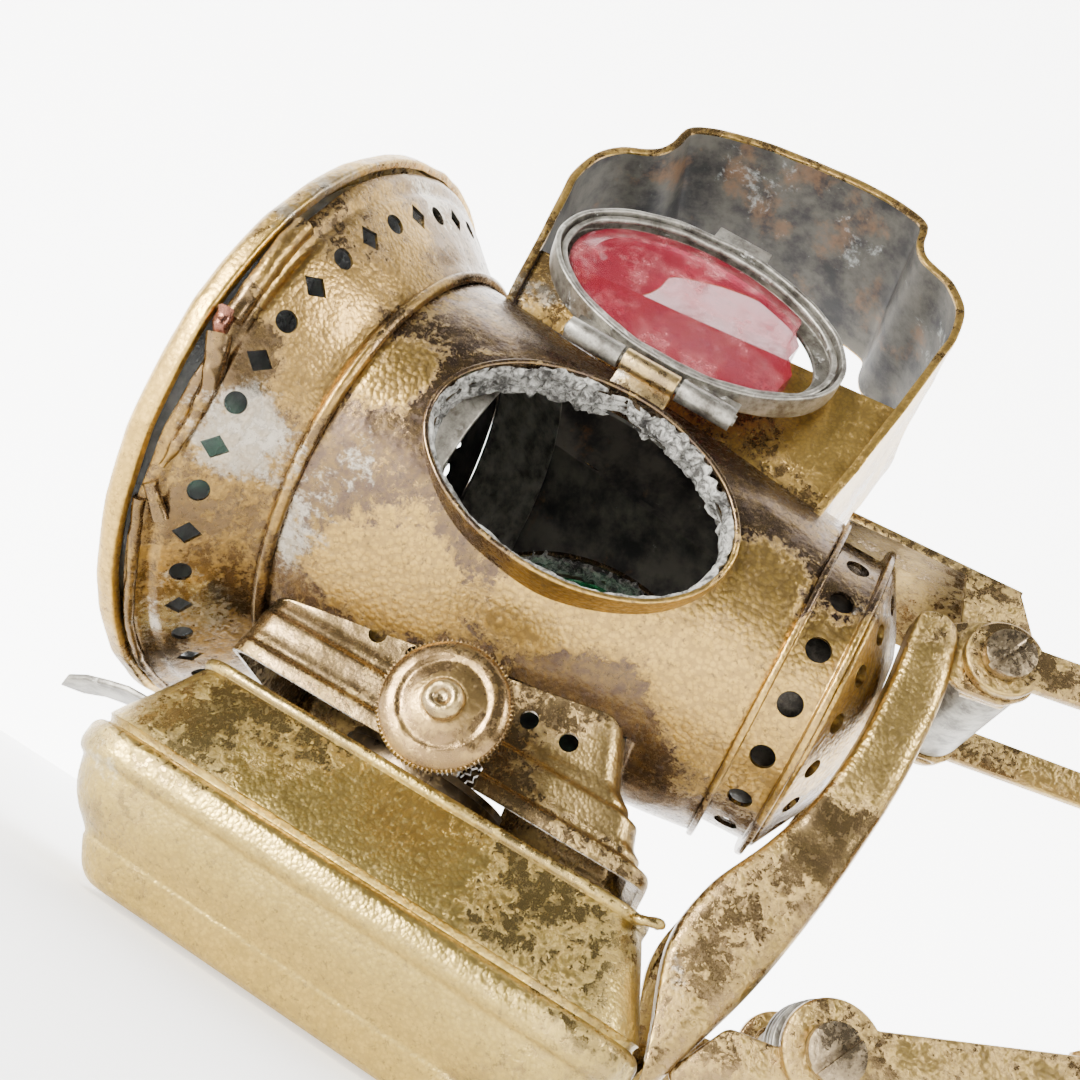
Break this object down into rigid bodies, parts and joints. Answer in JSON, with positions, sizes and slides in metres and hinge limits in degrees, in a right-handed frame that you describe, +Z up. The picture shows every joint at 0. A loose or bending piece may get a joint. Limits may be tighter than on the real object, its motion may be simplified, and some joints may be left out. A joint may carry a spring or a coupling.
{
  "type": "bicycle oil lamp",
  "caption": "Small brass oil lamp with a flared pierced front, hinged coloured side windows, a stepped oil font, a hood and a sprung rear bracket with a clamp.",
  "frame": {"origin": "centre of the oil font's flat bottom", "axes": "+X to the lamp's left (port) side, +Y to its rear, +Z up; the front glass faces -Y"},
  "size_m": [0.085, 0.1825, 0.135],
  "materials": {
    "rim_brass": "aged satin brass, rolled edge worn bright",
    "bell_brass": "tarnished brass with silvery rubs",
    "barrel_brass": "stippled brass with purple-brown heat tarnish",
    "clear_glass": "clear, slightly hazed",
    "red_glass": "bevelled ruby glass",
    "green_glass": "bevelled green glass",
    "dull_nickel": "worn nickel plate, grey and soot stained",
    "hinge_brass": "worn brass strip",
    "hood_brass": "brass sheet, sooty inside, rolled edge bright",
    "gallery_brass": "speckled brass sheet",
    "font_brass": "pressed brass, stippled, bright mouldings",
    "burner_brass": "sooty brass",
    "wick_cotton": "woven cotton",
    "knob_brass": "turned brass, rubbed",
    "bracket_brass": "stippled aged brass",
    "bolt_brass": "turned brass screws, grey worn faces"
  },
  "bodies": {
    "lamp": {"bell": "bell_brass", "front_rim": "rim_brass", "front_glass": "clear_glass", "glass_spring_ring": "dull_nickel", "barrel_joint_ring": "bell_brass", "barrel": "barrel_brass", "reflector_cone": "dull_nickel", "vent_collar": "barrel_brass", "tail_cover": "barrel_brass", "window_flange_port": "dull_nickel", "window_flange_starboard": "dull_nickel", "hinge_leaf_port": "hinge_brass", "hinge_leaf_starboard": "hinge_brass", "hinge_pin_port": "dull_nickel", "hinge_pin_starboard": "dull_nickel", "hood": "hood_brass", "hood_neck": "hood_brass", "gallery": "gallery_brass", "tail_stay": "bracket_brass", "bracket_arm_port": "bracket_brass", "bracket_arm_starboard": "bracket_brass", "upper_sleeve": "dull_nickel", "lower_sleeve": "dull_nickel", "upper_pivot_bolt": "bolt_brass", "upper_pivot_nut": "bolt_brass", "lower_pivot_bolt": "bolt_brass", "lower_pivot_nut": "bolt_brass", "steadying_spring": "dull_nickel"},
    "door_port": {"door_frame_port": "dull_nickel", "door_glass_port": "red_glass", "door_leaf_port": "dull_nickel", "door_catch_port": "dull_nickel"},
    "door_starboard": {"door_frame_starboard": "dull_nickel", "door_glass_starboard": "green_glass", "door_leaf_starboard": "dull_nickel", "door_catch_starboard": "dull_nickel"},
    "font": {"font": "font_brass", "font_tab": "dull_nickel", "burner_collar": "burner_brass", "burner_deck": "burner_brass", "wick_tube": "burner_brass", "spindle_post": "burner_brass"},
    "wick": {"wick": "wick_cotton"},
    "wick_raiser": {"wick_spindle": "burner_brass", "wick_wheels": "burner_brass", "wick_knob": "knob_brass", "knob_rivet": "knob_brass"},
    "upper_links": {"upper_link_port": "bracket_brass", "upper_link_starboard": "bracket_brass"},
    "lower_links": {"lower_link_port": "bracket_brass", "lower_link_starboard": "bracket_brass", "clamp_pin_lower": "bolt_brass"},
    "clamp": {"clamp_carriage": "bracket_brass", "clamp_pin_upper": "bolt_brass", "clamp_band": "bracket_brass", "clamp_screw": "bolt_brass"},
    "wing_nut": {"clamp_wing_nut": "bolt_brass"}
  },
  "joints": [
    {"name": "port_door_hinge", "type": "hinge", "parent": "lamp", "child": "door_port", "pos_m": [0.02752, 0.00015, 0.0814], "axis": [-0.1447, 0.9895, 0], "range_deg": [0, 196]},
    {"name": "starboard_door_hinge", "type": "hinge", "parent": "lamp", "child": "door_starboard", "pos_m": [-0.02752, 0.00015, 0.0814], "axis": [-0.1447, -0.9895, 0], "range_deg": [-196, 0]},
    {"name": "font_release", "type": "slide", "parent": "lamp", "child": "font", "axis": [0, 0, -1], "range_m": [0, 0.03]},
    {"name": "wick_knob_turn", "type": "hinge", "parent": "font", "child": "wick_raiser", "pos_m": [0, 0.00075, 0.0341], "axis": [1, 0, 0], "range_deg": [-180, 60]},
    {"name": "wick_travel", "type": "slide", "parent": "font", "child": "wick", "axis": [0, 0, 1], "range_m": [-0.0025, 0.0075]},
    {"name": "upper_link_swing", "type": "hinge", "parent": "lamp", "child": "upper_links", "pos_m": [0, 0.052, 0.074], "axis": [1, 0, 0], "range_deg": [-6, 6]},
    {"name": "carriage_swing", "type": "hinge", "parent": "upper_links", "child": "clamp", "pos_m": [0, 0.086, 0.079], "axis": [1, 0, 0], "range_deg": [-7.7, 7.7]},
    {"name": "lower_link_swing", "type": "hinge", "parent": "lamp", "child": "lower_links", "pos_m": [0, 0.0515, 0.0254], "axis": [1, 0, 0], "range_deg": [-6, 6]},
    {"name": "wing_nut_turn", "type": "hinge", "parent": "clamp", "child": "wing_nut", "pos_m": [0, 0.1249, 0.06], "axis": [1, 0, 0], "continuous": true}
  ],
  "couplings": [
    {"joint": "wick_travel", "follows": "wick_knob_turn", "m_per_rad": -0.0023},
    {"joint": "carriage_swing", "follows": "upper_link_swing", "ratio": -1.273},
    {"joint": "lower_link_swing", "follows": "upper_link_swing", "ratio": 0.9856}
  ]
}
